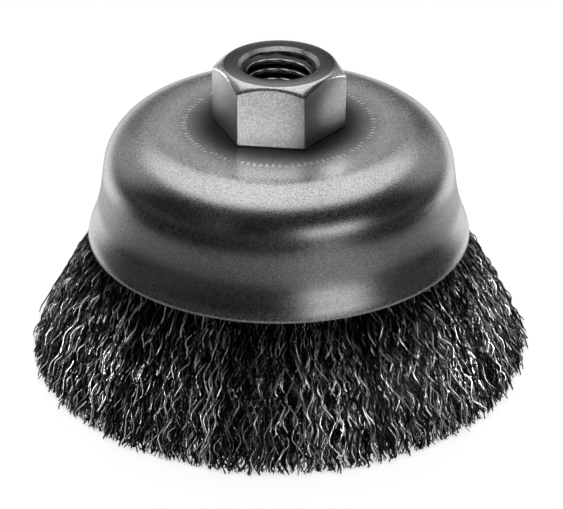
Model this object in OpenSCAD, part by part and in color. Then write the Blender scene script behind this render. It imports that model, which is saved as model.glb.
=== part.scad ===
// Crimped wire cup brush for a small angle grinder: a hexagon arbor nut riveted
// through a drawn steel cup, with a ring of crimped wire folded over an anchor
// ring and clamped in the cup by a dished inner plate.
// Frame: millimetres, +Z along the spindle, wire tips on z = 0, axis on X = Y = 0.

/* [Arbor nut] */
// Width across the flats of the hexagon
hex_af = 22; // [20:0.5:26]
// Height of the hexagon above the cup
hex_h = 12.3; // [10:0.1:16]
// Slope of the turned chamfer round the top of the hexagon, degrees
chamfer_slope = 38; // [25:1:45]
// Diameter of the flat seat inside that chamfer
seat_d = 20.9; // [18:0.1:21.5]
// Minor diameter of the M14 x 2 thread
bore_d = 11.84; // [10:0.01:13]
// Diameter of the countersunk mouth of the bore
mouth_d = 15.4; // [14:0.1:17]
// Diameter of the stem that goes through the cup and the inner plate
stem_d = 17; // [16:0.1:18.5]
// Diameter of the collar that is swaged out under the inner plate
collar_d = 21; // [20:0.1:23]
// Height of the swaged collar
collar_h = 2; // [1.2:0.1:3]

/* [Cup] */
// Diameter over the rim of the cup
cup_d = 73.5; // [70:0.5:78]
// Height of the cup from its rim to its flat top
cup_h = 22; // [20:0.5:26]
// Thickness of the drawn sheet
cup_t = 1.8; // [1.2:0.1:2.2]
// Outside radius of the shoulder
shoulder_r = 9.2; // [8.5:0.1:10]
// Lean of the wall under the shoulder, degrees from the axis
wall_lean = 10; // [6:1:13]
// Radius of the hollow waist
waist_r = 20; // [14:1:24]
// Lean of the skirt under the waist, degrees from the axis
skirt_lean = 23; // [18:1:26]
// Radius that turns the skirt back towards the axis at the rim
rim_r = 22; // [16:1:26]
// Lean of the sheet at the edge of the rim, degrees from the axis
rim_lean = 11; // [6:1:15]

/* [Inner plate and anchor ring] */
// Thickness of the inner plate
plate_t = 1.5; // [1:0.1:2]
// Outside radius of the bend round the hub of the inner plate
plate_bend_r = 4; // [3:0.1:5]
// Radius of the bend where the inner plate starts to flare
plate_flare_r = 5; // [3:0.1:6]
// Flare of the inner plate's skirt, degrees from the axis
plate_flare = 45; // [35:1:50]
// Height of the plate's edge above the rim of the cup
plate_setback = 5; // [4:0.1:7]
// Diameter of the wire that the anchor ring is made of
ring_d = 3.2; // [2.5:0.1:4]

/* [Wire fill] */
// Diameter over the outermost wire tips
brush_d = 98; // [92:0.5:104]
// Height of the wire that stands out below the rim
trim_h = 25.5; // [20:0.5:30]
// Number of bunches folded over the anchor ring
bunches = 24; // [20:1:26]
// Free angle between two bunches, degrees
bunch_gap = 0.6; // [0.4:0.1:1]
// Width of one crimped strand of a bunch
strand_w = 1.3; // [1:0.1:1.4]
// Thickness of a strand, square to its crimp
strand_t = 1.5; // [1:0.1:1.7]
// Side to side travel of the crimp
crimp_h = 1.4; // [0.8:0.1:1.5]
// Length of half a wave of the crimp
crimp_l = 5; // [3.4:0.1:7]
// Distance between two rows of strands where they leave the cup
row_step = 2.8; // [2.4:0.1:3]
// Distance between two rows of strands at their tips
tip_step = 4.3; // [3.5:0.1:5]
// Length of strand that is gripped inside the squeezed root
grip_l = 3; // [2:0.1:4]

/* [Fits] */
// Running clearance between parts that are pressed round each other
fit_gap = 0.1; // [0.05:0.01:0.15]

/* [Hidden] */
$fn = 96;
arc_steps = 10;
root_steps = 4;
rim_z = trim_h;
cup_z = rim_z + cup_h;
hex_r = hex_af / sqrt(3);
stem_l = cup_t + plate_t;
// Strands in each row of one bunch, outermost row first
row_strands = [4, 3, 2];
bunch_angle = 360 / bunches;

// Headings are in degrees below the horizontal
wall_head = 90 - wall_lean;
skirt_head = 90 - skirt_lean;
rim_head = 90 - rim_lean;
plate_head = 90 - plate_flare;
shoulder_drop = shoulder_r * (1 - cos(wall_head));
waist_drop = waist_r * (cos(skirt_head) - cos(wall_head));
rim_drop = rim_r * (cos(skirt_head) - cos(rim_head));
wall_l = (cup_h - shoulder_drop - waist_drop - rim_drop) / sin(wall_head);
flat_r = cup_d / 2 - shoulder_r * sin(wall_head) - wall_l * cos(wall_head)
    - waist_r * (sin(wall_head) - sin(skirt_head)) - rim_r * (sin(rim_head) - sin(skirt_head));

// The anchor ring lies at the centre of the shoulder, and the wire fills the
// room from there to the cup on one side and to the inner plate on the other
ring_r = flat_r;
ring_drop = shoulder_r;
fold_r = shoulder_r - cup_t - fit_gap;
plate_r = ring_r - fold_r - fit_gap;

// Strands leave the rim just clear of the cup's inner edge
neck_r = cup_d / 2 - (cup_t + fit_gap) / sin(rim_head);
root_drop = cup_h - rim_drop + (cup_t + fit_gap) * cos(skirt_head);
grip_z = cup_h - root_drop + grip_l;

// Points of an arc that leaves p at a heading and turns by an angle, in n steps
function arc(p, head, r, turn, n) = [for (k = [1:n])
    let (h = head + turn * k / n)
    p + sign(turn) * r * [sin(h) - sin(head), cos(h) - cos(head)]];

// Points of a chain of straight moves [length] and round moves [radius, turn]
function walk(p, head, moves, n = arc_steps, i = 0) = i == len(moves) ? [p] :
    let (m = moves[i], round = len(m) == 2)
    let (pts = round ? arc(p, head, m[0], m[1], n) : [p + m[0] * [cos(head), -sin(head)]])
    let (last = len(pts) - 1, before = [for (k = [0:1:last - 1]) pts[k]])
    concat([p], before, walk(pts[last], head + (round ? m[1] : 0), moves, n, i + 1));

function reversed(pts) = [for (k = [len(pts) - 1:-1:0]) pts[k]];

// The cup's outline from its shoulder down to its waist, at a depth into the sheet
function waist_moves(inset) = [[shoulder_r - inset, wall_head], [wall_l],
    [waist_r + inset, skirt_head - wall_head]];

// The whole outline from the axis to the rim, at a depth into the sheet
function cup_line(inset) = walk([0, -inset], 0,
    concat([[flat_r]], waist_moves(inset), [[rim_r - inset, rim_head - skirt_head]]));

// The inner plate's outline from the axis to its edge, at a depth into the plate
plate_wall_l = ring_drop - cup_t - plate_bend_r;
plate_skirt_drop = cup_h - plate_setback - ring_drop - plate_flare_r * cos(plate_head);
function plate_line(inset) = walk([0, -cup_t - inset], 0, [[plate_r - plate_bend_r],
    [plate_bend_r - inset, 90], [plate_wall_l],
    [plate_flare_r + inset, plate_head - 90], [plate_skirt_drop / sin(plate_head)]]);

// Outline of a folded bunch: up the cup's side, over the ring, down the plate's side
function root_line() =
    let (outer = walk([flat_r, -cup_t - fit_gap], 0, waist_moves(cup_t + fit_gap), root_steps))
    let (fold = walk([ring_r - fold_r, -ring_drop], -90, [[fold_r, 90]], root_steps))
    let (leg = walk([ring_r - fold_r, -ring_drop], 90, [[plate_flare_r - fit_gap, plate_head - 90],
        [plate_skirt_drop / sin(plate_head)]], root_steps))
    let (foot = [leg[len(leg) - 1][0], -root_drop])
    concat(outer, [foot], reversed(leg), [for (k = [1:len(fold) - 2]) fold[k]]);

// Radius of a row of strands at the rim and at the tips, on its outer face
function row_neck(row) = neck_r - row * row_step;
function row_tip(row) = brush_d / 2 - row * tip_step;
// Lean of a row, from the height that its outer face really has
function row_lean(row) =
    let (run = row_tip(row) - row_neck(row))
    let (rough = atan(run / trim_h))
    atan(run / (trim_h - strand_t * sin(rough)));

// Sideways place of a crimp, from -1 to 1, at u half waves below the rim, where
// the first bend is at a given u and every later one follows a half wave on
function crimp(u, first) = u < first ? u / first :
    let (bend = floor(u - first), part = u - first - bend)
    (bend % 2 == 0 ? 1 : -1) * (1 - 2 * part);

// Side edge of a crimped strand: straight in the root, zigzag below it. Shift is
// how far its crimp runs ahead of its neighbour's, from 0 to 2 half waves
function strand_edge(grip, free, side, shift) =
    let (turned = shift < 1 ? 1 : -1, first = 0.5 + shift % 1, end = free / crimp_l)
    let (bends = [for (u = [first:1:end - 0.2]) u])
    [for (u = concat([-grip / crimp_l, 0], bends, [end]))
        [grip + u * crimp_l, (turned * crimp_h * crimp(max(u, 0), first) + side * strand_w) / 2]];

// A hexagon cut from bar, chamfered on top, bored through and swaged below
module arbor_nut() color([0.72, 0.72, 0.74]) translate([0, 0, cup_z]) difference() {
    union() {
        intersection() {
            cylinder(r = hex_r, h = hex_h, $fn = 6);
            nut_turning();
        }
        translate([0, 0, -stem_l]) cylinder(d = stem_d, h = stem_l + hex_h / 2);
        translate([0, 0, -stem_l - collar_h]) cylinder(d = collar_d, h = collar_h);
    }
    translate([0, 0, -stem_l - collar_h - 1]) cylinder(d = bore_d, h = hex_h + stem_l + collar_h + 2);
    translate([0, 0, hex_h - (mouth_d - bore_d) / 2])
        cylinder(r1 = bore_d / 2, r2 = mouth_d / 2 + 1, h = (mouth_d - bore_d) / 2 + 1);
}

// The shape that the lathe leaves: a cylinder under a chamfer cone
module nut_turning() {
    cone_h = (hex_r + 1 - seat_d / 2) * tan(chamfer_slope);
    rotate_extrude() polygon([[0, 0], [hex_r + 1, 0], [hex_r + 1, hex_h - cone_h],
        [seat_d / 2, hex_h], [0, hex_h]]);
}

// The cup, drawn from one disc of sheet, with a hole for the stem
module cup() color([0.45, 0.45, 0.47]) translate([0, 0, cup_z]) difference() {
    rotate_extrude() polygon(concat(cup_line(0), reversed(cup_line(cup_t))));
    translate([0, 0, -cup_t - 1]) cylinder(d = stem_d, h = cup_t + 2);
}

// The dished plate that clamps the folded wire against the cup
module inner_plate() color([0.55, 0.55, 0.57]) translate([0, 0, cup_z]) difference() {
    rotate_extrude() polygon(concat(plate_line(0), reversed(plate_line(plate_t))));
    translate([0, 0, -cup_t - plate_t - 1]) cylinder(d = stem_d, h = plate_t + 2);
}

// The ring of thick wire that the bunches are folded over
module anchor_ring() color([0.5, 0.5, 0.52]) translate([0, 0, cup_z - ring_drop])
    rotate_extrude() translate([ring_r, 0]) circle(d = ring_d, $fn = 32);

// The squeezed root of a bunch, folded over the anchor ring
module bunch_root() translate([0, 0, cup_z]) difference() {
    rotate([0, 0, (bunch_gap - bunch_angle) / 2])
        rotate_extrude(angle = bunch_angle - bunch_gap) polygon(root_line());
    translate([0, 0, -ring_drop]) rotate_extrude() translate([ring_r, 0])
        circle(d = ring_d + 2 * fit_gap, $fn = 32);
}

// Crimped strand k of a row, from inside the root down to its tip
module strand(row, k) {
    lean = row_lean(row);
    inner_r = row_neck(row) - strand_t / cos(lean);
    grip = grip_z / cos(lean);
    free = trim_h / cos(lean);
    shift = 2 * k / row_strands[row];
    translate([inner_r - grip_z * tan(lean), 0, rim_z + grip_z]) rotate([0, 90 - lean, 0])
        linear_extrude(height = strand_t) polygon(concat(
            strand_edge(grip, free, 1, shift), reversed(strand_edge(grip, free, -1, shift))));
}

// A bunch of crimped wire: its folded root with three rows of strands
module bunch() {
    bunch_root();
    for (row = [0:len(row_strands) - 1], k = [0:row_strands[row] - 1])
        rotate([0, 0, bunch_angle * ((k + 0.5) / row_strands[row] - 0.5)]) strand(row, k);
}

// The whole ring of wire
module wire_fill() color([0.2, 0.2, 0.21])
    for (k = [0:bunches - 1]) rotate([0, 0, k * bunch_angle]) bunch();

arbor_nut();
cup();
inner_plate();
anchor_ring();
wire_fill();
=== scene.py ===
"""Crimped wire cup brush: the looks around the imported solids.

Every piece is a surface worked out on a grid in millimetres, in the frame of the solids:
+Z along the spindle, wire tips on z = 0. The nut, cup, plate and ring are closed rounds,
and the wire is several thousand thin crimped tubes, each with its own path.
"""
import math

import bpy
import numpy as np
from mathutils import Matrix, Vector


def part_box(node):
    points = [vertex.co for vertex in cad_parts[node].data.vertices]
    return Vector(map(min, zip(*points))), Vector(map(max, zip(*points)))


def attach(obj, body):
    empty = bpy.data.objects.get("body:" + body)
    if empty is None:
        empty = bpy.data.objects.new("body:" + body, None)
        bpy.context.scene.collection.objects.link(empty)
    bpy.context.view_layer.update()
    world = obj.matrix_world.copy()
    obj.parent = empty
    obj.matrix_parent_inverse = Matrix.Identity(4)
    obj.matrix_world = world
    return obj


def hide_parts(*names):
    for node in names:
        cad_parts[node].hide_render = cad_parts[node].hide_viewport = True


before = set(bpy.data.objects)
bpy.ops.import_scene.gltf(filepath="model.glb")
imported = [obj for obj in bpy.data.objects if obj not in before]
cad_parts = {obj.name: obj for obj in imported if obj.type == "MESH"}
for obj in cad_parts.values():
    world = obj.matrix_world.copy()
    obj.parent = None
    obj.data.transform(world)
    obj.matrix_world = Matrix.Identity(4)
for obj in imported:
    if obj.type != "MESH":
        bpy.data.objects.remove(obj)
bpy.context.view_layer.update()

MM = 0.001
TURN = 2 * math.pi
rng = np.random.default_rng(27)

# Heights and outer sizes come from the solids, in millimetres
nut_low, nut_high = [np.array(corner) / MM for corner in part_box("arbor_nut")]
cup_low, cup_high = [np.array(corner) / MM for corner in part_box("cup")]
plate_low, plate_high = [np.array(corner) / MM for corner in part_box("inner_plate")]
ring_low, ring_high = [np.array(corner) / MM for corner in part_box("anchor_ring")]
wire_low, wire_high = [np.array(corner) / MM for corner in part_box("wire_fill")]
NUT_TOP = nut_high[2]
CUP_TOP = plate_high[2] + 1.8
RIM_Z = cup_low[2]
RIM_R = cup_high[0]
RING_D = ring_high[2] - ring_low[2]
RING_R = ring_high[0] - RING_D / 2
TIP_R = wire_high[0]

# The nut, in millimetres
HEX_FLAT = nut_high[1]
SEAT_R = 10.45
CHAMFER = math.tan(math.radians(38))
STEM_R = 8.5
STEM_L = 3.3
COLLAR_R = 10.5
MINOR_R = 5.92
MAJOR_R = 7.0
MOUTH_R = 7.7
PITCH = 2.0
CORNER_ROUND = 0.3
EDGE = 0.25

# The cup and the inner plate, in millimetres and degrees below the horizontal
SHEET = 1.8
SHOULDER_R = 9.2
WAIST_R = 30.0
RIM_ROLL_R = 12.0
WALL_HEAD = 82.0
SKIRT_HEAD = 67.0
RIM_HEAD = 77.0
PLATE_SHEET = 1.5
PLATE_BEND_R = 4.0
PLATE_FLARE_R = 5.0
PLATE_HEAD = 45.0
FIT_GAP = 0.1


def linear(hex_code):
    """An sRGB hex colour as the linear colour that a node takes."""
    parts = [int(hex_code[i:i + 2], 16) / 255 for i in (1, 3, 5)]
    return [c / 12.92 if c <= 0.04045 else ((c + 0.055) / 1.055) ** 2.4 for c in parts] + [1.0]


def piece(name, points, faces, node, sharp_deg=None):
    """A mesh from an n x 3 array of millimetres and a list of k-cornered face arrays."""
    mesh = bpy.data.meshes.new(name)
    mesh.vertices.add(len(points))
    mesh.vertices.foreach_set("co", (points * MM).astype(np.float32).ravel())
    corners = np.concatenate([f.ravel() for f in faces])
    sizes = np.concatenate([np.full(len(f), f.shape[1]) for f in faces])
    mesh.loops.add(len(corners))
    mesh.loops.foreach_set("vertex_index", corners.astype(np.int32))
    mesh.polygons.add(len(sizes))
    starts = np.cumsum(sizes) - sizes
    mesh.polygons.foreach_set("loop_start", starts.astype(np.int32))
    mesh.update(calc_edges=True)
    mesh.polygons.foreach_set("use_smooth", np.ones(len(sizes), dtype=bool))
    if sharp_deg:
        mesh.set_sharp_from_angle(angle=math.radians(sharp_deg))
    obj = bpy.data.objects.new(name, mesh)
    bpy.context.scene.collection.objects.link(obj)
    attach(obj, "root")
    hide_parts(node)
    return obj


def closed_round(name, r, z, phi, node, sharp_deg=None):
    """A ring-shaped skin: row i and column j lie at radius r[i, j], height z[i, j] and angle
    phi[j], and both rows and columns close on themselves. Rows run down the outside."""
    points = np.stack([r * np.cos(phi), r * np.sin(phi), z], axis=-1)
    rows, columns = r.shape
    here = np.arange(rows * columns).reshape(rows, columns)
    down = np.roll(here, -1, axis=0)
    beside = np.roll(here, -1, axis=1)
    across = np.roll(down, -1, axis=1)
    quads = np.stack([here, down, across, beside], axis=-1).reshape(-1, 4)
    return piece(name, points.reshape(-1, 3), [quads], node, sharp_deg)


def trace(start, heading, moves, steps=12):
    """Points of a chain of straight moves (length,) and round moves (radius, turn). A heading
    is in degrees below the horizontal, and a positive turn bends further down."""
    points = [np.array(start, float)]
    for move in moves:
        h = math.radians(heading)
        if len(move) == 1:
            points.append(points[-1] + move[0] * np.array([math.cos(h), -math.sin(h)]))
            continue
        radius, turn = move
        a = h + math.radians(turn) * np.arange(1, steps + 1) / steps
        swing = np.stack([np.sin(a) - math.sin(h), np.cos(a) - math.cos(h)], axis=1)
        points.extend(points[-1] + math.copysign(radius, turn) * swing)
        heading += turn
    return np.array(points)


def revolve(name, profile, phi, node, wobble=0.0, sharp_deg=40):
    """A closed profile of (r, z) points carried round the axis. Wobble is the depth of the
    slow dents that pressing leaves: two sine waves round the piece that fade to the middle."""
    r = np.repeat(profile[:, :1], len(phi), axis=1)
    z = np.repeat(profile[:, 1:], len(phi), axis=1)
    dent = np.sin(2 * phi + 0.6) + 0.6 * np.sin(5 * phi + 2.1) + 0.35 * np.sin(9 * phi + 4)
    r = r + wobble * dent * np.clip((r - 20) / 15, 0, 1)
    return closed_round(name, r, z, phi, node, sharp_deg)


def arbor_nut():
    """The hexagon nut as one skin. The side's radius at angle e from a corner is that of a
    rounded corner, else flat / cos(30 - e). The chamfer cone cuts it at top - (r - seat) * slope.
    The thread's wall is the minor radius plus a clipped triangle wave of z - pitch * turns."""
    fine = np.radians([-1.6, -0.78, -0.52, -0.26, 0, 0.26, 0.52, 0.78, 1.6])
    steps = np.radians(np.arange(5, 56, 2.5))
    phi = np.sort(np.concatenate([np.concatenate([fine, steps]) + k * TURN / 6 for k in range(6)]))
    off = np.abs((phi + TURN / 12) % (TURN / 6) - TURN / 12)
    centre = (HEX_FLAT - CORNER_ROUND) / math.cos(TURN / 12)
    flat = HEX_FLAT / np.cos(TURN / 12 - off)
    room = np.clip(CORNER_ROUND ** 2 - (centre * np.sin(off)) ** 2, 0, None)
    tangent = math.atan2(CORNER_ROUND / 2, centre + CORNER_ROUND * math.cos(TURN / 12))
    side = np.where(off < tangent, centre * np.cos(off) + np.sqrt(room), flat)
    ones = np.ones_like(phi)
    cone = NUT_TOP - (side - SEAT_R) * CHAMFER
    collar_top = CUP_TOP - STEM_L
    end = nut_low[2]
    outer = [(ones * MOUTH_R, ones * NUT_TOP),
             (ones * (SEAT_R - EDGE), ones * NUT_TOP),
             (ones * (SEAT_R + EDGE), ones * NUT_TOP - EDGE * CHAMFER),
             (side - EDGE, cone + EDGE * CHAMFER),
             (side, cone - EDGE),
             (side, ones * (CUP_TOP + EDGE)),
             (side - EDGE, ones * CUP_TOP),
             (ones * STEM_R, ones * CUP_TOP),
             (ones * STEM_R, ones * collar_top),
             (ones * (COLLAR_R - 0.3), ones * collar_top),
             (ones * COLLAR_R, ones * (collar_top - 0.4)),
             (ones * (COLLAR_R - 0.15), ones * (end + 0.7)),
             (ones * (COLLAR_R - 0.9), ones * end)]
    heights = np.arange(end, NUT_TOP - 0.02, PITCH / 14)
    turns = (heights[:, None] - PITCH * phi / TURN) / PITCH
    wave = np.abs(turns % 1 - 0.5) * 2
    wall = MINOR_R + (MAJOR_R - MINOR_R) * np.clip((wave - 0.2) / 0.66, 0, 1)
    mouth = MOUTH_R - (NUT_TOP - heights)[:, None]
    foot = MINOR_R + 1.2 - (heights - end)[:, None]
    wall = np.maximum(np.maximum(wall, mouth), foot)
    r = np.concatenate([np.array([row[0] for row in outer]), wall])
    z = np.concatenate([np.array([row[1] for row in outer]),
                        np.repeat(heights[:, None], len(phi), axis=1)])
    return closed_round("arbor_nut_turned", r, z, phi, "arbor_nut", 28)


def cup_moves(inset):
    """The cup's outline after its flat top, at a depth into the sheet, as in the solids."""
    wall, skirt, rim = (math.radians(a) for a in (WALL_HEAD, SKIRT_HEAD, RIM_HEAD))
    drops = (SHOULDER_R * (1 - math.cos(wall)) + WAIST_R * (math.cos(skirt) - math.cos(wall))
             + RIM_ROLL_R * (math.cos(skirt) - math.cos(rim)))
    wall_l = (CUP_H - drops) / math.sin(wall)
    runs = (SHOULDER_R * math.sin(wall) + wall_l * math.cos(wall)
            + WAIST_R * (math.sin(wall) - math.sin(skirt))
            + RIM_ROLL_R * (math.sin(rim) - math.sin(skirt)))
    moves = [(SHOULDER_R - inset, WALL_HEAD), (wall_l,), (WAIST_R + inset, SKIRT_HEAD - WALL_HEAD),
             (RIM_ROLL_R - inset, RIM_HEAD - SKIRT_HEAD)]
    return CUP_D / 2 - runs, moves


RIM_EDGE = 0.35
CUP_D = 73.5
CUP_H = 22.0


def cup():
    """The drawn cup: flat top, shoulder, wall, waist and rolled skirt, then the rim's cut
    edge with its corners eased, and the same chain back up the inside."""
    flat_r, moves = cup_moves(0)
    outer = trace((flat_r, CUP_TOP), 0, moves)
    inner = trace((flat_r, CUP_TOP - SHEET), 0, cup_moves(SHEET)[1])
    across = (inner[-1] - outer[-1]) / np.linalg.norm(inner[-1] - outer[-1])
    back = np.array([-across[1], across[0]]) * RIM_EDGE
    a = np.radians(np.arange(0, 91, 18))[:, None]
    edge = np.concatenate([outer[-1] + across * RIM_EDGE * (1 - np.cos(a)) + back * (1 - np.sin(a)),
                           inner[-1] - across * RIM_EDGE * (1 - np.sin(a)) + back * (1 - np.cos(a))])
    outer = outer[:-1]
    inner = inner[:-1]
    top = np.array([(r, CUP_TOP) for r in np.linspace(STEM_R, flat_r, 6)[:-1]])
    roof = np.array([(r, CUP_TOP - SHEET) for r in np.linspace(flat_r, STEM_R, 4)[1:]])
    profile = np.concatenate([top, outer, edge, inner[::-1], roof])
    phi = np.arange(288) * TURN / 288
    return revolve("cup_drawn", profile, phi, "cup", wobble=0.035)


def inner_plate():
    """The dished plate: flat hub, a square bend down, a short wall and a flared skirt."""
    flat_r = cup_moves(0)[0]
    plate_r = flat_r - (SHOULDER_R - SHEET - FIT_GAP) - FIT_GAP
    roof = CUP_TOP - SHEET
    wall_l = SHOULDER_R - SHEET - PLATE_BEND_R
    head = math.radians(PLATE_HEAD)
    drop = CUP_TOP - SHOULDER_R - PLATE_FLARE_R * math.cos(head) - RIM_Z - 5.0

    def side(inset):
        moves = [(plate_r - PLATE_BEND_R - STEM_R,), (PLATE_BEND_R - inset, 90), (wall_l,),
                 (PLATE_FLARE_R + inset, PLATE_HEAD - 90), (drop / math.sin(head),)]
        return trace((STEM_R, roof - inset), 0, moves, 8)

    profile = np.concatenate([side(0), side(PLATE_SHEET)[::-1]])
    phi = np.arange(144) * TURN / 144
    return revolve("inner_plate_pressed", profile, phi, "inner_plate")


def anchor_ring():
    """The ring of thick wire: a circle of the wire's diameter carried round the axis."""
    a = -np.arange(16) * TURN / 16
    middle = (ring_low[2] + ring_high[2]) / 2
    profile = np.stack([RING_R + RING_D / 2 * np.cos(a), middle + RING_D / 2 * np.sin(a)], axis=1)
    phi = np.arange(120) * TURN / 120
    return revolve("anchor_ring_bent", profile, phi, "anchor_ring", sharp_deg=None)


def wire_roots():
    """The squeezed roots of the wire: the room between cup, ring and plate, with its skin
    fluted by a fast sine wave round the axis, one flute for each wire that shows."""
    flat_r, moves = cup_moves(SHEET + FIT_GAP)
    outer = trace((flat_r, CUP_TOP - SHEET - FIT_GAP), 0, moves[:3], 6)
    fold = SHOULDER_R - SHEET - FIT_GAP
    centre = CUP_TOP - SHOULDER_R
    head = math.radians(PLATE_HEAD)
    drop = centre - PLATE_FLARE_R * math.cos(head) - RIM_Z - 5.0
    leg = trace((flat_r - fold, centre), 90, [(PLATE_FLARE_R - FIT_GAP, PLATE_HEAD - 90),
                                              (drop / math.sin(head),)], 6)
    arch = trace((flat_r - fold, centre), -90, [(fold, 90)], 6)
    foot = np.array([(r, outer[-1][1]) for r in np.linspace(outer[-1][0], leg[-1][0], 7)[1:]])
    profile = np.concatenate([outer, foot, leg[::-1], arch[1:-1]])
    phi = np.arange(480) * TURN / 480
    r = np.repeat(profile[:, :1], len(phi), axis=1)
    z = np.repeat(profile[:, 1:], len(phi), axis=1)
    flute = 0.06 * np.sin(110 * phi) + 0.05 * np.sin(87 * phi + 1.0)
    lift = np.where(np.abs(z - outer[-1][1]) < 0.01, 1.0, 0.0)
    return closed_round("wire_roots", r, z + lift * (flute * 4 - 0.4), phi, "wire_fill")


HALF_WAVE = 3.4
CRIMP = 0.72
WIRE_R = 0.15
BEND = 0.15
PARTED_AT = math.radians(330)
LUMPS = 0.3
TONE = 4.2


def wire_batch(name, count, depth_low, depth_high, fine, stray=0.0):
    """Thin crimped tubes with three or four sides. A wire sits at depth u, from 0 on the inside of the
    fill to 1 on its outside, and at angle a. Down its length q, from the rim to the tip, its
    radius is neck + (tip - neck) * (1.27 q - 0.27 q^2), it leans sideways with q^2 and it is
    drawn to the middle of its lump. The crimp is a triangle wave whose peaks are cut flat, laid
    across the wire in a plane of its own."""
    u = depth_high - (depth_high - depth_low) * rng.random(count) ** (2.2 if fine else 1.0)
    a = (np.arange(count) * 7 + rng.uniform(-3, 3, count)) * TURN / count % TURN
    wave = HALF_WAVE * rng.normal(1, 0.07, count)
    start = rng.uniform(0.1, 0.9, count)
    ends = np.array([-0.9, 9.5])
    bends = np.arange(10)[:, None] + (np.array([-BEND, BEND]) if fine else np.zeros(1))
    marks = np.sort(np.concatenate([ends[:1], bends.ravel(), ends[1:]]))
    along = (marks[None, :] + start[:, None] + 1) * wave[:, None]
    neck = 27.0 + 7.5 * u
    tip = 38.4 + (TIP_R - 0.85 - 38.4) * u ** 0.95
    fall = np.cos(np.arctan((tip - neck) / RIM_Z))
    top_z = RIM_Z + 3.2 + 3.0 * (1 - u)
    end_z = 0.12 + np.abs(rng.normal(0, 0.3, count))
    length = (top_z - end_z) / fall
    along = np.minimum(along, length[:, None])
    last = along >= length[:, None]
    z = top_z[:, None] - along * fall[:, None]
    q = np.clip((RIM_Z - z) / RIM_Z, -0.3, 1.0)
    down = np.clip(q, 0, None)
    far = rng.normal(0, 0.2, count) + stray * np.minimum(np.abs(rng.normal(0, 1, count)) ** 3, 14)
    radius = neck[:, None] + (tip - neck)[:, None] * np.where(q > 0, 1.27 * q - 0.27 * q * q, 0.8 * q)
    radius = radius + far[:, None] * down ** 1.5
    lump_w = TURN / 84
    lump = np.floor(a / lump_w + 0.6 * np.sin(3 * u * TURN + a * 5))
    pull = np.clip((lump + 0.5) * lump_w - a, -lump_w, lump_w)
    parted = 1 + 2.5 * np.exp(-((a - PARTED_AT + math.pi) % TURN - math.pi) ** 2 / 0.03)
    strength = LUMPS * parted * np.abs(np.sin(lump * 12.9898)) ** 2
    skew = rng.normal(0, 0.04, count)
    angle = a[:, None] + skew[:, None] * down ** 1.3 + (pull * strength)[:, None] * down ** 2
    middle = np.stack([radius * np.cos(angle), radius * np.sin(angle), z], axis=-1)
    tangent = np.gradient(middle, axis=1)
    tangent /= np.linalg.norm(tangent, axis=2, keepdims=True) + 1e-9
    sideways = np.stack([-np.sin(angle), np.cos(angle), np.zeros_like(angle)], axis=-1)
    outward = np.cross(sideways, tangent)
    phase = along / wave[:, None] - start[:, None] - 1
    ripple = 1 - 2 * np.abs((phase % 2) - 1)
    plane = rng.normal(0, 0.5, count)
    size = CRIMP / (1 - BEND) * rng.normal(1, 0.2, count) * np.where(rng.random(count) < 0.5, -1, 1)
    size = size[:, None] * np.clip(0.75 + q * 1.6, 0.4, 1.1)
    swing = np.cos(plane)[:, None, None] * sideways + np.sin(plane)[:, None, None] * outward
    middle = middle + (size * ripple)[..., None] * swing
    tangent = np.gradient(middle, axis=1)
    tangent /= np.linalg.norm(tangent, axis=2, keepdims=True) + 1e-9
    across = np.cross(tangent, swing)
    across /= np.linalg.norm(across, axis=2, keepdims=True) + 1e-9
    level = np.cross(across, tangent)
    girth = WIRE_R * rng.normal(1, 0.08, count)[:, None, None]
    sides = 4 if fine else 3
    turn = np.arange(sides) * TURN / sides
    rings = [middle + girth * (math.cos(t) * level + math.sin(t) * across) for t in turn]
    points = np.stack(rings, axis=2)
    points[..., 2] = np.maximum(points[..., 2], 0)
    rows = points.shape[1]
    index = np.arange(count * rows * sides).reshape(count, rows, sides)
    beside = np.roll(index, -1, axis=2)
    quads = np.stack([index[:, :-1], beside[:, :-1], beside[:, 1:], index[:, 1:]], axis=-1)
    live = ~(last[:, 1:] & last[:, :-1])
    quads = quads[live].reshape(-1, 4)
    caps = np.concatenate([index[:, 0, ::-1], index[:, -1]])
    obj = piece(name, points.reshape(-1, 3), [quads, caps], "wire_fill")
    tone = np.repeat(rng.random(count) ** TONE, rows * sides)
    shade = obj.data.attributes.new("wire_tone", "FLOAT", "POINT")
    shade.data.foreach_set("value", tone.astype(np.float32))
    return obj


def add(tree, kind, inputs=None, **settings):
    """Adds one node: its settings, then a value or a link for each input."""
    made = tree.nodes.new("ShaderNode" + kind)
    for key, value in settings.items():
        setattr(made, key, value)
    for key, value in (inputs or {}).items():
        if isinstance(value, bpy.types.NodeSocket):
            tree.links.new(value, made.inputs[key])
        else:
            made.inputs[key].default_value = value
    return made


def new_material(name):
    """An empty node material and its tree."""
    material = bpy.data.materials.new(name)
    material.use_nodes = True
    material.node_tree.nodes.clear()
    return material, material.node_tree


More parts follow.
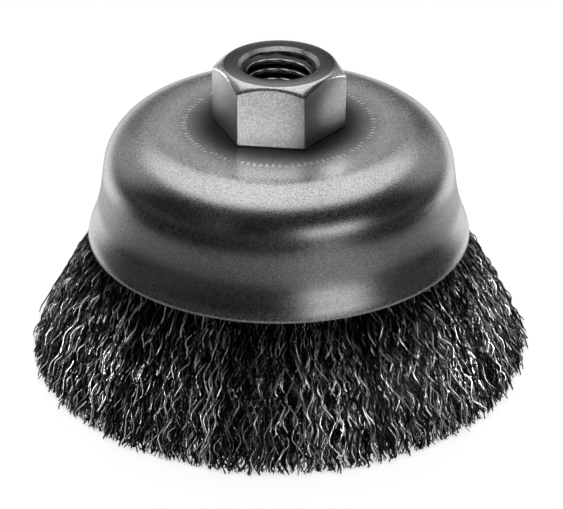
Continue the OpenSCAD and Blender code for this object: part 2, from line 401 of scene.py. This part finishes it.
def metal_grain(tree, grain_mm, dark, light, rough, spread, depth_mm, zone=None, matt=None):
    """A bare metal whose fine grain shifts its colour, its roughness and its height. A zone is
    a socket that is multiplied into the colour, and matt is one that is added to the
    roughness."""
    place = add(tree, "TexCoord").outputs["Object"]
    grain = add(tree, "TexNoise", {"Vector": place, "Scale": 1000 / grain_mm, "Detail": 3.0,
                                   "Roughness": 0.7}).outputs["Fac"]
    cloud = add(tree, "TexNoise", {"Vector": place, "Scale": 1000 / 14.0, "Detail": 2.0}).outputs["Fac"]
    soft = add(tree, "Math", {0: cloud, 1: 0.12}, operation="MULTIPLY").outputs[0]
    both = add(tree, "Math", {0: grain, 1: 0.88, 2: soft}, operation="MULTIPLY_ADD").outputs[0]
    span = add(tree, "MapRange", {"Value": both, "From Min": 0.34, "From Max": 0.66}).outputs[0]
    colour = add(tree, "Mix", {0: span, 6: linear(dark), 7: linear(light)}, data_type="RGBA").outputs[2]
    if zone:
        colour = add(tree, "Mix", {0: 1.0, 6: colour, 7: zone}, data_type="RGBA",
                     blend_type="MULTIPLY").outputs[2]
    roughness = add(tree, "MapRange", {"Value": both, "From Min": 0.34, "From Max": 0.66,
                                       "To Min": rough - spread, "To Max": rough + spread}).outputs[0]
    if matt:
        roughness = add(tree, "Math", {0: roughness, 1: matt}).outputs[0]
    bump = add(tree, "Bump", {"Height": grain, "Distance": depth_mm * MM, "Strength": 1.0}).outputs[0]
    shader = add(tree, "BsdfPrincipled", {"Base Color": colour, "Metallic": 1.0,
                                          "Roughness": roughness, "Normal": bump})
    add(tree, "OutputMaterial", {"Surface": shader.outputs[0]})
    return shader


def axis_distance(tree):
    """Sockets for a point's place, its distance from the axis and its height, in metres."""
    place = add(tree, "TexCoord").outputs["Object"]
    parts = add(tree, "SeparateXYZ", {0: place}).outputs
    level = add(tree, "VectorMath", {0: place, 1: (1, 1, 0)}, operation="MULTIPLY").outputs[0]
    return parts, add(tree, "VectorMath", {0: level}, operation="LENGTH").outputs["Value"], parts[2]


def ramp(tree, value, low_mm, high_mm, at_low, at_high):
    """A socket in metres carried smoothly from one value to another."""
    return add(tree, "MapRange", {"Value": value, "From Min": low_mm * MM, "From Max": high_mm * MM,
                                  "To Min": at_low, "To Max": at_high},
               interpolation_type="SMOOTHSTEP").outputs[0]


def milled_bar_steel():
    """Hexagon bar, turned and zinc plated: a pale satin with a fine even tooth. The top face is painted
    darker, as painted shade, the thread is painted dark between its crests, as painted shade, and the
    faces that look upward are painted brighter than the side flats, as painted highlight."""
    material, tree = new_material("milled_bar_steel")
    parts, far, height = axis_distance(tree)
    # Painted shade: the top face keeps only 0.3 of the colour.
    top = ramp(tree, height, NUT_TOP - 0.1, NUT_TOP - 0.04, 1.0, 0.3)
    # Painted shade in the bore: the thread's flanks and roots keep 0.1 of the colour, while the crests and
    # everything beyond the major radius keep it whole.
    inside = ramp(tree, far, MAJOR_R - 0.1, MAJOR_R + 0.05, 0.0, 1.0)
    crest = ramp(tree, far, MINOR_R + 0.06, MINOR_R + 0.22, 1.0, 0.1)
    thread_root_shade = add(tree, "Math", {0: inside, 1: crest}, operation="MAXIMUM").outputs[0]
    zone = add(tree, "Math", {0: top, 1: thread_root_shade}, operation="MULTIPLY").outputs[0]
    # Painted highlight: a face keeps more of its colour the more it looks upward, as the chamfer and top
    # do, and the side flats keep 0.75 of it. The same share makes the turned faces less rough, which is
    # their finish.
    lean = add(tree, "SeparateXYZ", {0: add(tree, "TexCoord").outputs["Normal"]}).outputs[2]
    turned = add(tree, "MapRange", {"Value": lean, "From Min": 0.4, "From Max": 0.7}).outputs[0]
    face = add(tree, "Math", {0: turned, 1: 0.25, 2: 0.75}, operation="MULTIPLY_ADD").outputs[0]
    zone = add(tree, "Math", {0: zone, 1: face}, operation="MULTIPLY").outputs[0]
    matt = add(tree, "Math", {0: turned, 1: -0.13}, operation="MULTIPLY").outputs[0]
    metal_grain(tree, 0.26, "#b4b4b6", "#fafafc", 0.36, 0.05, 0.02, zone, matt)
    return material


def drawn_sheet_steel():
    """Deep drawn sheet, dull plated: a satin whose grain the drawing has opened up. The ring round the
    nut's foot is painted dark, as painted shade, and beyond it a ring of plain ticks is stamped and
    painted brighter, as painted highlight."""
    material, tree = new_material("drawn_sheet_steel")
    parts, far, height = axis_distance(tree)
    # Painted shade round the nut's foot: the colour falls to 0.07 at 12.5 mm from the axis and is whole
    # again at 22.5 mm.
    foot = ramp(tree, far, 12.5, 22.5, 0.07, 1.0)
    turned = add(tree, "Math", {0: parts[1], 1: parts[0]}, operation="ARCTAN2").outputs[0]
    beat = add(tree, "Math", {0: turned, 1: 96 / TURN}, operation="MULTIPLY").outputs[0]
    tooth = add(tree, "Math", {0: beat}, operation="FRACT").outputs[0]
    mark = add(tree, "MapRange", {"Value": tooth, "From Min": 0.48, "From Max": 0.4}).outputs[0]
    near = ramp(tree, far, 17.3, 17.5, 0.0, 1.0)
    away = ramp(tree, far, 18.5, 18.7, 1.0, 0.0)
    band = add(tree, "Math", {0: near, 1: away}, operation="MULTIPLY").outputs[0]
    flat = ramp(tree, height, CUP_TOP - 0.3, CUP_TOP - 0.2, 0.0, 1.0)
    band = add(tree, "Math", {0: band, 1: flat}, operation="MULTIPLY").outputs[0]
    wear = add(tree, "TexNoise", {"Vector": add(tree, "TexCoord").outputs["Object"],
                                  "Scale": 1000 / 2.5, "Detail": 1.0}).outputs["Fac"]
    kept = add(tree, "MapRange", {"Value": wear, "From Min": 0.36, "From Max": 0.5}).outputs[0]
    mark = add(tree, "Math", {0: mark, 1: kept}, operation="MULTIPLY").outputs[0]
    ticks = add(tree, "Math", {0: band, 1: mark}, operation="MULTIPLY").outputs[0]
    # Painted highlight: the stamped ticks add half a unit to the colour, on top of the painted shade round
    # the foot. Their dents are the bump further down.
    zone = add(tree, "Math", {0: ticks, 1: 0.5, 2: foot}, operation="MULTIPLY_ADD").outputs[0]
    matt = ramp(tree, far, 15.0, 25.0, 0.33, 0.0)
    cut = ramp(tree, height, RIM_Z + 0.2, RIM_Z + 0.5, 0.35, 0.0)
    waist = add(tree, "Math", {0: ramp(tree, height, 30.0, 33.0, 0.0, 0.2),
                               1: ramp(tree, height, 36.0, 39.0, 1.0, 0.0)},
                operation="MULTIPLY").outputs[0]
    for part in (cut, waist):
        matt = add(tree, "Math", {0: matt, 1: part}, operation="MAXIMUM").outputs[0]
    shader = metal_grain(tree, 0.26, "#949496", "#f6f6f8", 0.27, 0.05, 0.018, zone, matt)
    grain = shader.inputs["Normal"].links[0].from_socket
    stamped = add(tree, "Bump", {"Height": ticks, "Distance": 0.25 * MM, "Strength": 1.0,
                                 "Normal": grain}, invert=True).outputs[0]
    tree.links.new(stamped, shader.inputs["Normal"])
    return material


def pressed_plate_steel():
    """Pressed sheet left as rolled: a flat mid grey."""
    material, tree = new_material("pressed_plate_steel")
    metal_grain(tree, 0.5, "#77777a", "#a2a2a5", 0.38, 0.06, 0.02)
    return material


def bright_drawn_wire():
    """Thick drawn wire: smooth and a little brighter than the sheet."""
    material, tree = new_material("bright_drawn_wire")
    metal_grain(tree, 0.6, "#85858a", "#b0b0b4", 0.3, 0.05, 0.01)
    return material


def tempered_wire():
    """Oil tempered carbon steel wire: dark, with a thin bright line where it turns to the light. Each wire
    has its own tone."""
    material, tree = new_material("tempered_wire")
    tone = add(tree, "Attribute", attribute_name="wire_tone").outputs["Fac"]
    colour = add(tree, "Mix", {"Factor": tone, 6: linear("#161618"), 7: linear("#fafafc")},
                 data_type="RGBA").outputs[2]
    shader = add(tree, "BsdfPrincipled", {"Base Color": colour, "Metallic": 1.0, "Roughness": 0.26})
    add(tree, "OutputMaterial", {"Surface": shader.outputs[0]})
    return material


def squeezed_wire():
    """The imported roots: the same wire, too deep in shade to show a bright line."""
    material, tree = new_material("squeezed_wire")
    metal_grain(tree, 0.4, "#1c1c1d", "#4a4a4c", 0.4, 0.06, 0.05)
    return material


def white_paper():
    """The plain floor: matt white. What the camera sees of it is lifted to paper white, and
    the brush's shadow stays on it as a faint grey."""
    material, tree = new_material("white_paper")
    rays = add(tree, "LightPath")
    shown = add(tree, "Math", {0: rays.outputs["Is Camera Ray"], 1: rays.outputs["Is Glossy Ray"]},
                operation="MAXIMUM").outputs[0]
    seen = add(tree, "Math", {0: shown, 1: rays.outputs["Is Transmission Ray"]},
               operation="MAXIMUM").outputs[0]
    paper = add(tree, "BsdfDiffuse", {"Color": linear("#e9e9e9")})
    lift = add(tree, "Emission", {"Color": (1, 1, 1, 1),
                                  "Strength": add(tree, "Math", {0: seen, 1: 0.7},
                                                  operation="MULTIPLY").outputs[0]})
    both = add(tree, "AddShader", {0: paper.outputs[0], 1: lift.outputs[0]})
    under = add(tree, "NewGeometry").outputs["Backfacing"]
    sheet = add(tree, "MixShader", {0: under, 1: both.outputs[0],
                                    2: add(tree, "BsdfTransparent").outputs[0]})
    add(tree, "OutputMaterial", {"Surface": sheet.outputs[0]})
    return material


# The camera, as fitted to the photograph: the nut's top is the point that it is measured from
VIEW_TURN = math.radians(7.67)
VIEW_RISE = math.radians(24.82)
VIEW_PITCH = math.radians(29.38)
VIEW_SWING = math.radians(-0.069)
VIEW_FAR = 0.450
FOCAL_PX = 2402.4
PHOTO_WIDE = 563


def camera():
    """A camera at the photograph's angle, distance and scale."""
    data = bpy.data.cameras.new("view")
    data.sensor_width = 36.0
    data.lens = FOCAL_PX / PHOTO_WIDE * data.sensor_width
    obj = bpy.data.objects.new("view", data)
    bpy.context.scene.collection.objects.link(obj)
    flat = VIEW_FAR * math.cos(VIEW_RISE)
    obj.location = Vector((flat * math.sin(VIEW_TURN), -flat * math.cos(VIEW_TURN),
                           NUT_TOP * MM + VIEW_FAR * math.sin(VIEW_RISE)))
    obj.rotation_euler = (math.pi / 2 - VIEW_PITCH, 0, VIEW_TURN + VIEW_SWING)
    bpy.context.scene.camera = obj


def towards(azimuth, elevation):
    """A direction: azimuth in degrees to the right of the camera's side of the brush."""
    a = math.radians(azimuth) + VIEW_TURN
    e = math.radians(elevation)
    return (math.sin(a) * math.cos(e), -math.cos(a) * math.cos(e), math.sin(e))


# The tent that stands round the brush: grey cloth with soft openings onto white paper, and a
# pale card near the camera. Azimuth, elevation, half width where full and where gone, level
OPENINGS = [(180, 74, 37, 43, 1.0), (180, -54, 52, 68, 1.0), (128, 24, 8, 30, 0.33),
            (-128, 26, 8, 30, 0.3)]
CARDS = [(30, -14, 3, 15, 0.2), (24, 10, 5, 13, 0.95), (42, 10, 5, 13, 0.95), (-150, 18, 20, 50, 0.1), (150, 18, 20, 50, 0.04)]
# A dark card behind the brush, which draws the thin dark line down its edges
DARK = [(180, -25, 10, 24, 0.85)]
CLOTH = 0.012
SEAM = (-6, -1, 3, 8, 0.05)
TENT_R = 1.5
STRIPS = [(-75, 5, 0.0009), (-46, 13, 0.00055), (46, 13, 0.0009), (75, 5, 0.0021)]
# Azimuth, elevation, power, beam in degrees, and the point that it is aimed at in millimetres
SNOOTS = [(-20, 3, 12.5, 2.8, (-2.8, 0.0, NUT_TOP - 6)), (104, 4, 28.0, 0.75, (12.7, -0.5, NUT_TOP - 5.6)),
          (-118, 4, 14.0, 0.9, (-12.4, -1.0, NUT_TOP - 4))]


def patches(tree, place, spots):
    """The sum of round soft patches: level * smoothstep of the angle to each middle."""
    total = None
    for azimuth, elevation, inner, outer, level in spots:
        near = add(tree, "VectorMath", {0: place, 1: towards(azimuth, elevation)},
                   operation="DOT_PRODUCT").outputs["Value"]
        patch = add(tree, "MapRange", {"Value": near, "From Min": math.cos(math.radians(outer)),
                                       "From Max": math.cos(math.radians(inner)), "To Max": level},
                    interpolation_type="SMOOTHSTEP").outputs[0]
        total = patch if total is None else add(tree, "Math", {0: total, 1: patch}).outputs[0]
    return total


def grey_cloth():
    """Tent cloth: it glows faintly where light soaks through, and has soft edged openings."""
    material, tree = new_material("grey_cloth")
    way = add(tree, "NewGeometry").outputs["Position"]
    place = add(tree, "VectorMath", {0: way}, operation="NORMALIZE").outputs[0]
    glow = add(tree, "Math", {0: patches(tree, place, CARDS), 1: CLOTH}).outputs[0]
    rise = add(tree, "SeparateXYZ", {0: place}).outputs[2]
    low, full, fade, high, level = SEAM
    edges = [math.sin(math.radians(e)) for e in (low, full, fade, high)]
    over = add(tree, "MapRange", {"Value": rise, "From Min": edges[0], "From Max": edges[1],
                                  "To Max": level}, interpolation_type="SMOOTHSTEP").outputs[0]
    under = add(tree, "MapRange", {"Value": rise, "From Min": edges[2], "From Max": edges[3],
                                   "To Min": 1.0, "To Max": 0.0},
                interpolation_type="SMOOTHSTEP").outputs[0]
    glow = add(tree, "Math", {0: over, 1: under, 2: glow}, operation="MULTIPLY_ADD").outputs[0]
    cloth = add(tree, "Emission", {"Color": (1, 1, 1, 1), "Strength": glow})
    gap = add(tree, "Math", {0: patches(tree, place, OPENINGS), 1: 1.0}, operation="MINIMUM").outputs[0]
    clear = add(tree, "Math", {0: 1.0, 1: patches(tree, place, DARK)}, operation="SUBTRACT").outputs[0]
    gap = add(tree, "Math", {0: gap, 1: clear}, operation="MULTIPLY").outputs[0]
    both = add(tree, "MixShader", {0: gap, 1: cloth.outputs[0],
                                   2: add(tree, "BsdfTransparent").outputs[0]})
    add(tree, "OutputMaterial", {"Surface": both.outputs[0]})
    return material


def snoots():
    """Narrow spot lamps on the nut alone: one from low in front and one from behind on each
    side, which grazes the outer edge of a side flat."""
    for azimuth, elevation, power, beam, aim in SNOOTS:
        data = bpy.data.lights.new("snoot", "SPOT")
        data.energy = power
        data.spot_size = math.radians(beam)
        data.spot_blend = 0.8
        data.shadow_soft_size = 0.002
        obj = bpy.data.objects.new("snoot", data)
        bpy.context.scene.collection.objects.link(obj)
        way = Vector(towards(azimuth, elevation))
        obj.location = Vector(aim) * MM + way * 0.6
        obj.rotation_euler = way.to_track_quat("Z", "Y").to_euler()


def strip_lamps():
    """Strip lamps with grids, each square to the wires on its own side of the brush, so that
    a wire shines all along its crimp and the cup above stays unlit. Azimuth, elevation and
    power of each."""
    for azimuth, elevation, power in STRIPS:
        data = bpy.data.lights.new("strip", "AREA")
        data.shape = "RECTANGLE"
        data.size = 0.065
        data.size_y = 0.012
        data.spread = math.radians(2.5)
        data.energy = power
        obj = bpy.data.objects.new("strip", data)
        bpy.context.scene.collection.objects.link(obj)
        way = Vector(towards(azimuth, elevation))
        middle = Vector(towards(azimuth, 0)) * 0.043 + Vector((0, 0, 0.011))
        obj.location = middle + way * 0.45
        obj.rotation_euler = way.to_track_quat("Z", "Y").to_euler()


def studio():
    """White paper all round, and the tent between it and the brush, out of the picture."""
    world = bpy.data.worlds.new("white_paper_surround")
    bpy.context.scene.world = world
    world.use_nodes = True
    tree = world.node_tree
    tree.nodes.clear()
    light = add(tree, "Background", {"Color": (1, 1, 1, 1), "Strength": 1.0})
    add(tree, "OutputWorld", {"Surface": light.outputs[0]})
    rise = np.radians(np.linspace(-89.9, 89.9, 37))[:, None]
    phi = np.arange(64)[None, :] * TURN / 64
    shell = np.stack([np.cos(rise) * np.cos(phi), np.cos(rise) * np.sin(phi),
                      np.sin(rise) + 0 * phi], axis=-1) * TENT_R
    here = np.arange(37 * 64).reshape(37, 64)
    beside = np.roll(here, -1, axis=1)
    quads = np.stack([here[:-1], here[1:], beside[1:], beside[:-1]], axis=-1).reshape(-1, 4)
    mesh = bpy.data.meshes.new("tent")
    mesh.from_pydata(shell.reshape(-1, 3).tolist(), [], quads.tolist())
    mesh.materials.append(grey_cloth())
    obj = bpy.data.objects.new("tent", mesh)
    bpy.context.scene.collection.objects.link(obj)
    obj.visible_camera = False


def floor():
    """A round white floor that the wire tips stand on. From beneath it is clear."""
    phi = np.arange(96) * TURN / 96
    radius = 80.0
    rim = np.stack([radius * np.cos(phi), radius * np.sin(phi), np.zeros(96)], axis=1) * MM
    mesh = bpy.data.meshes.new("floor")
    mesh.from_pydata(rim.tolist(), [], [list(range(96))])
    obj = bpy.data.objects.new("floor", mesh)
    bpy.context.scene.collection.objects.link(obj)
    mesh.materials.append(white_paper())


camera()
studio()
snoots()
strip_lamps()
floor()

arbor_nut().data.materials.append(milled_bar_steel())
cup().data.materials.append(drawn_sheet_steel())
inner_plate().data.materials.append(pressed_plate_steel())
anchor_ring().data.materials.append(bright_drawn_wire())
wire_roots().data.materials.append(squeezed_wire())

wire = tempered_wire()
batches = [("wires_outer_a", 1150, 0.6, 1.0, True, 0.1), ("wires_outer_b", 1150, 0.6, 1.0, True, 0.1),
           ("wires_outer_c", 1150, 0.6, 1.0, True, 0.1),
           ("wires_middle", 1900, 0.3, 0.7, False, 0.0), ("wires_inner", 1400, 0.0, 0.35, False, 0.0)]
for name, count, low, high, fine, stray in batches:
    wire_batch(name, count, low, high, fine, stray).data.materials.append(wire)

scene = bpy.context.scene
scene.view_settings.view_transform = "Standard"
